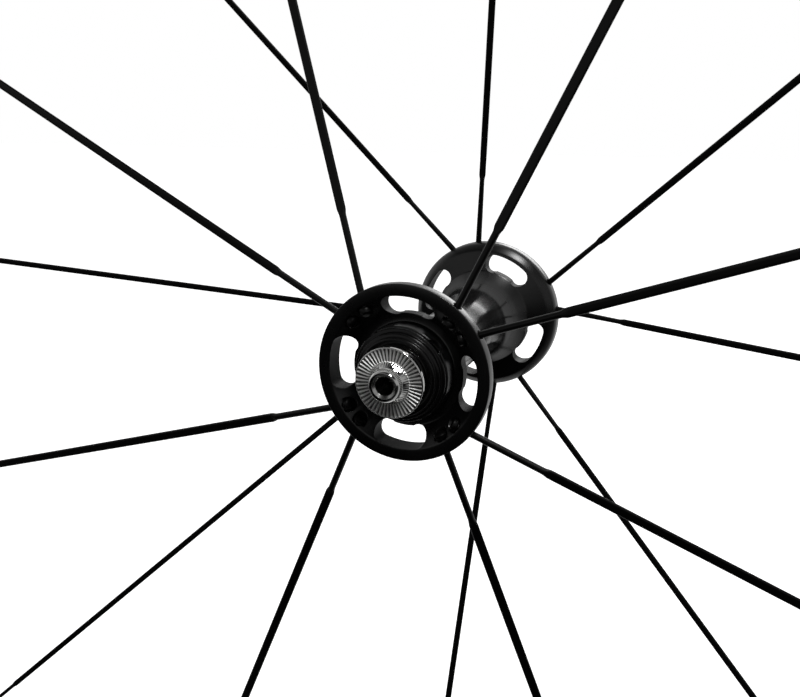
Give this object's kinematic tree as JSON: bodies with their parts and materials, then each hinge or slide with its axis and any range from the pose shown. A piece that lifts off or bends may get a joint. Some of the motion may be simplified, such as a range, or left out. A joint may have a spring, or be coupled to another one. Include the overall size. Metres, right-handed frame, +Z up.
{
  "type": "bicycle front wheel",
  "caption": "Front bicycle wheel: cut-away hub flanges, bladed spokes laced in pairs, double wall rim and a hollow quick release axle. No tyre, no skewer.",
  "frame": {"origin": "centre of the hub on the axle's line, which is the centre of the wheel", "axes": "+Y along the axle from the left flange to the right flange, +Z up, +X completes the right-handed frame"},
  "size_m": [0.634, 0.108, 0.634],
  "materials": {
    "black_anodised": "glossy black anodised",
    "black_spoke": "black coated steel",
    "axle_alloy": "turned",
    "polished_steel": "plated, serrated on the clamping face",
    "bearing_steel": "ground",
    "seal_rubber": "matt",
    "nipple_alloy": "black anodised",
    "rim_black": "satin black anodised",
    "tape_plastic": "matt"
  },
  "bodies": {
    "axle_set": {"axle": "axle_alloy", "locknut_left": "polished_steel", "locknut_right": "polished_steel", "axle_spacer_left": "axle_alloy", "axle_spacer_right": "axle_alloy", "inner_race_left": "bearing_steel", "inner_race_right": "bearing_steel"},
    "wheel": {"outer_race_left": "bearing_steel", "bearing_seal_left_inboard": "seal_rubber", "bearing_seal_left_outboard": "seal_rubber", "dust_cap_left": "black_anodised", "spoke_left_1": "black_spoke", "nipple_left_1": "nipple_alloy", "spoke_left_2": "black_spoke", "nipple_left_2": "nipple_alloy", "spoke_left_3": "black_spoke", "nipple_left_3": "nipple_alloy", "spoke_left_4": "black_spoke", "nipple_left_4": "nipple_alloy", "spoke_left_5": "black_spoke", "nipple_left_5": "nipple_alloy", "spoke_left_6": "black_spoke", "nipple_left_6": "nipple_alloy", "spoke_left_7": "black_spoke", "nipple_left_7": "nipple_alloy", "spoke_left_8": "black_spoke", "nipple_left_8": "nipple_alloy", "outer_race_right": "bearing_steel", "bearing_seal_right_inboard": "seal_rubber", "bearing_seal_right_outboard": "seal_rubber", "dust_cap_right": "black_anodised", "spoke_right_1": "black_spoke", "nipple_right_1": "nipple_alloy", "spoke_right_2": "black_spoke", "nipple_right_2": "nipple_alloy", "spoke_right_3": "black_spoke", "nipple_right_3": "nipple_alloy", "spoke_right_4": "black_spoke", "nipple_right_4": "nipple_alloy", "spoke_right_5": "black_spoke", "nipple_right_5": "nipple_alloy", "spoke_right_6": "black_spoke", "nipple_right_6": "nipple_alloy", "spoke_right_7": "black_spoke", "nipple_right_7": "nipple_alloy", "spoke_right_8": "black_spoke", "nipple_right_8": "nipple_alloy", "hub_shell": "black_anodised", "rim": "rim_black", "rim_tape": "tape_plastic"},
    "ball_set_left": {"ball_set_left": "bearing_steel"},
    "ball_set_right": {"ball_set_right": "bearing_steel"}
  },
  "joints": [
    {"name": "wheel_spin", "type": "hinge", "parent": "axle_set", "child": "wheel", "pos_m": [0, 0, 0], "axis": [0, 1, 0], "continuous": true},
    {"name": "ball_set_left_spin", "type": "hinge", "parent": "axle_set", "child": "ball_set_left", "pos_m": [0, -0.0378, 0], "axis": [0, 1, 0], "continuous": true},
    {"name": "ball_set_right_spin", "type": "hinge", "parent": "axle_set", "child": "ball_set_right", "pos_m": [0, 0.0378, 0], "axis": [0, 1, 0], "continuous": true}
  ],
  "couplings": [
    {"joint": "ball_set_left_spin", "follows": "wheel_spin", "ratio": 0.5667},
    {"joint": "ball_set_right_spin", "follows": "wheel_spin", "ratio": 0.5667}
  ]
}
